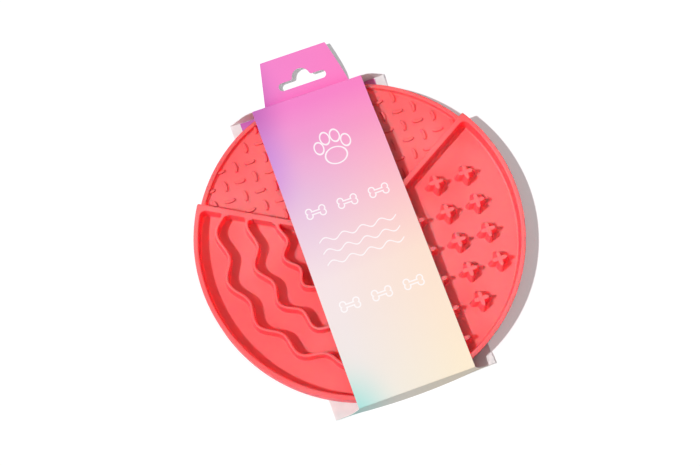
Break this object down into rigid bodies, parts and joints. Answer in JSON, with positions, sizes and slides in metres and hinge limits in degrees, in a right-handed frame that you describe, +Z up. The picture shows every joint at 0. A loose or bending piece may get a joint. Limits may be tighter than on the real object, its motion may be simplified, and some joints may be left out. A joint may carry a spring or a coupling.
{
  "type": "lick mat in a card sleeve",
  "caption": "Round silicone lick mat with wavy ridges, cross studs and curved dashes in walled trays, held in a folded card sleeve with a hang tab.",
  "frame": {"origin": "under the middle of the round mat, on the plane that the sleeve's back panel lies on", "axes": "+X across the sleeve, the way it slides off, +Y along the sleeve towards the hang tab, +Z up out of the trays"},
  "size_m": [0.2184, 0.2489, 0.0184],
  "materials": {
    "silicone": "soft satin moulded silicone",
    "paperboard": "satin print in soft rainbow tints outside, bare white board inside"
  },
  "bodies": {
    "mat": {"mat_floor": "silicone", "wave_side_rim": "silicone", "stud_side_rim": "silicone", "dash_side_rim": "silicone", "left_divider": "silicone", "right_divider": "silicone", "front_divider": "silicone", "wave_ridge_1": "silicone", "wave_ridge_2": "silicone", "wave_ridge_3": "silicone", "wave_ridge_4": "silicone", "cross_studs": "silicone", "curved_dashes": "silicone", "suction_cups": "silicone"},
    "sleeve": {"back_panel": "paperboard", "foot_spine": "paperboard", "head_spine": "paperboard", "front_panel": "paperboard", "hanger_card": "paperboard"},
    "hang_tab": {"hang_tab": "paperboard"}
  },
  "joints": [
    {"name": "sleeve_slide", "type": "slide", "parent": "mat", "child": "sleeve", "axis": [1, 0, 0], "range_m": [-0.17, 0.17]},
    {"name": "tab_fold", "type": "hinge", "parent": "sleeve", "child": "hang_tab", "pos_m": [0, 0.1091, 0.00068], "axis": [1, 0, 0], "range_deg": [-95, 78]}
  ]
}
